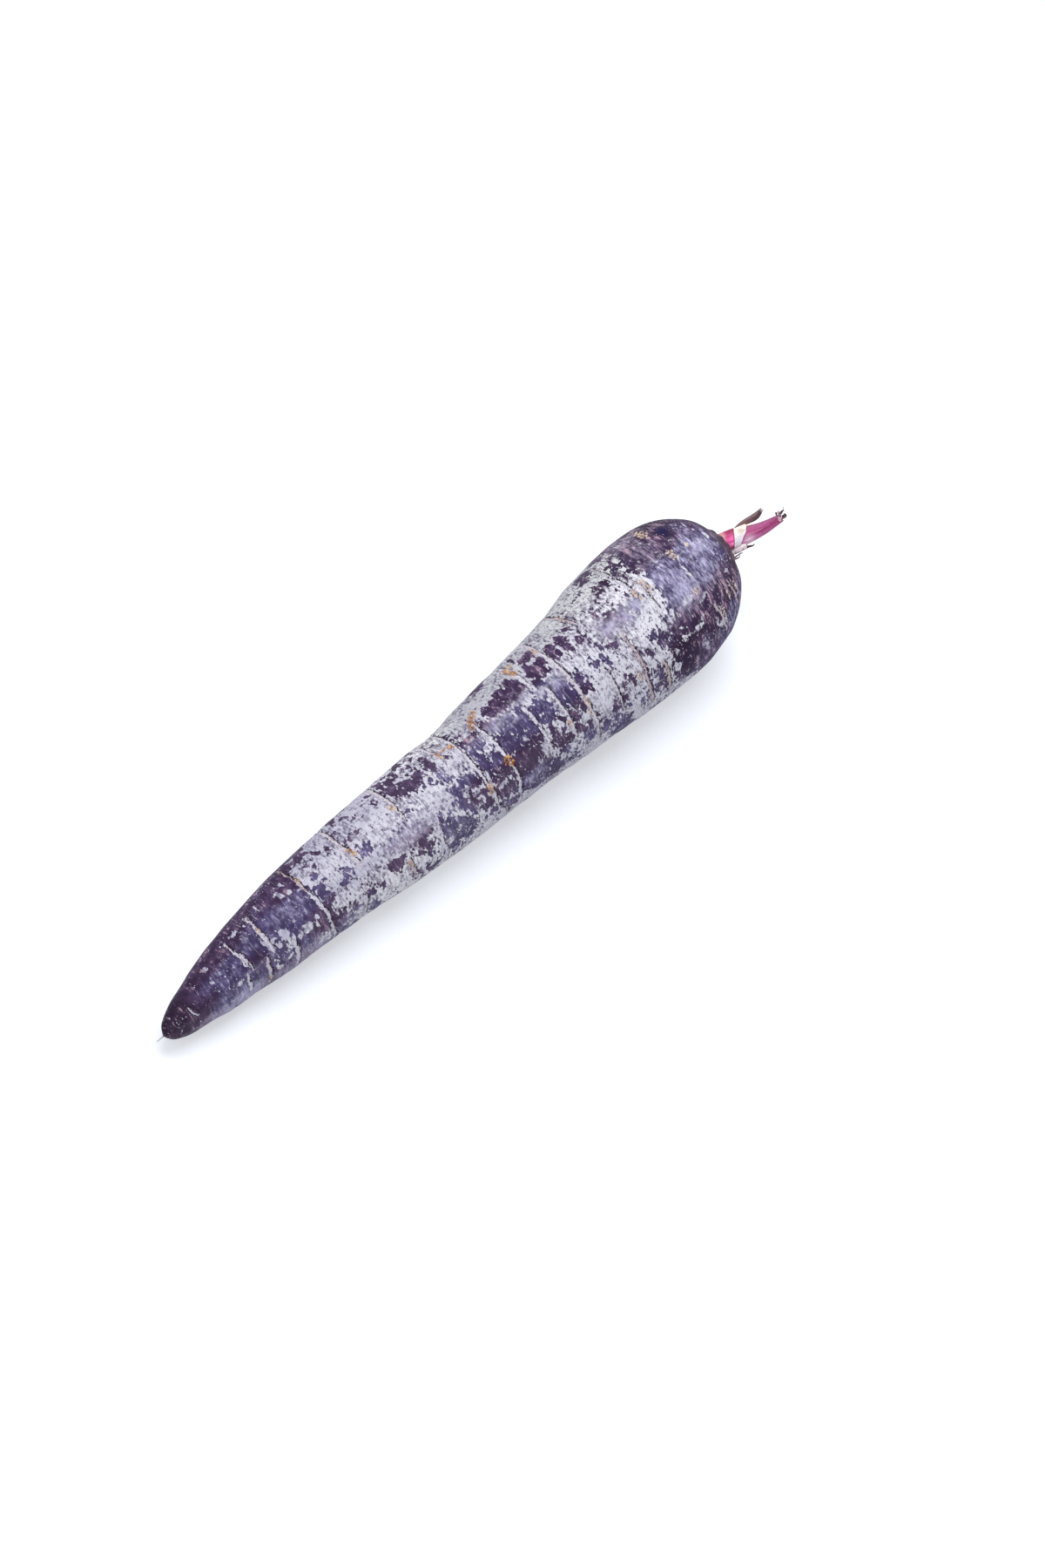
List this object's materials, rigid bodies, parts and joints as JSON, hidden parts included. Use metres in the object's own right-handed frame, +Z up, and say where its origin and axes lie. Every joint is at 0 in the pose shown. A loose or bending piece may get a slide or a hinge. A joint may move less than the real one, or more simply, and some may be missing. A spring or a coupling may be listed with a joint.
{
  "type": "black carrot",
  "caption": "Whole black carrot lying on its side: a tapering dark purple root with silvery skin patches and short leaf-stalk stubs at the crown.",
  "frame": {"origin": "on the ground, below the middle of the whole carrot as it lies", "axes": "+X along the root from its tip to its crown, +Z up from the ground"},
  "size_m": [0.243, 0.045, 0.0463],
  "materials": {
    "root_skin": "dark aubergine skin under a ragged silver-grey film, satin",
    "petiole_magenta": "ribbed magenta leaf stalk, satin",
    "petiole_cut": "pink skin and cream cut flesh, satin",
    "petiole_dry": "dried brown leaf stalk, matt",
    "petiole_pale": "pale pink leaf-stalk base, satin"
  },
  "bodies": {
    "root": {"taproot": "root_skin", "main_petiole": "petiole_magenta", "outer_petiole_base": "petiole_cut", "dry_petiole": "petiole_dry", "lower_petiole_stub": "petiole_pale"}
  },
  "joints": []
}
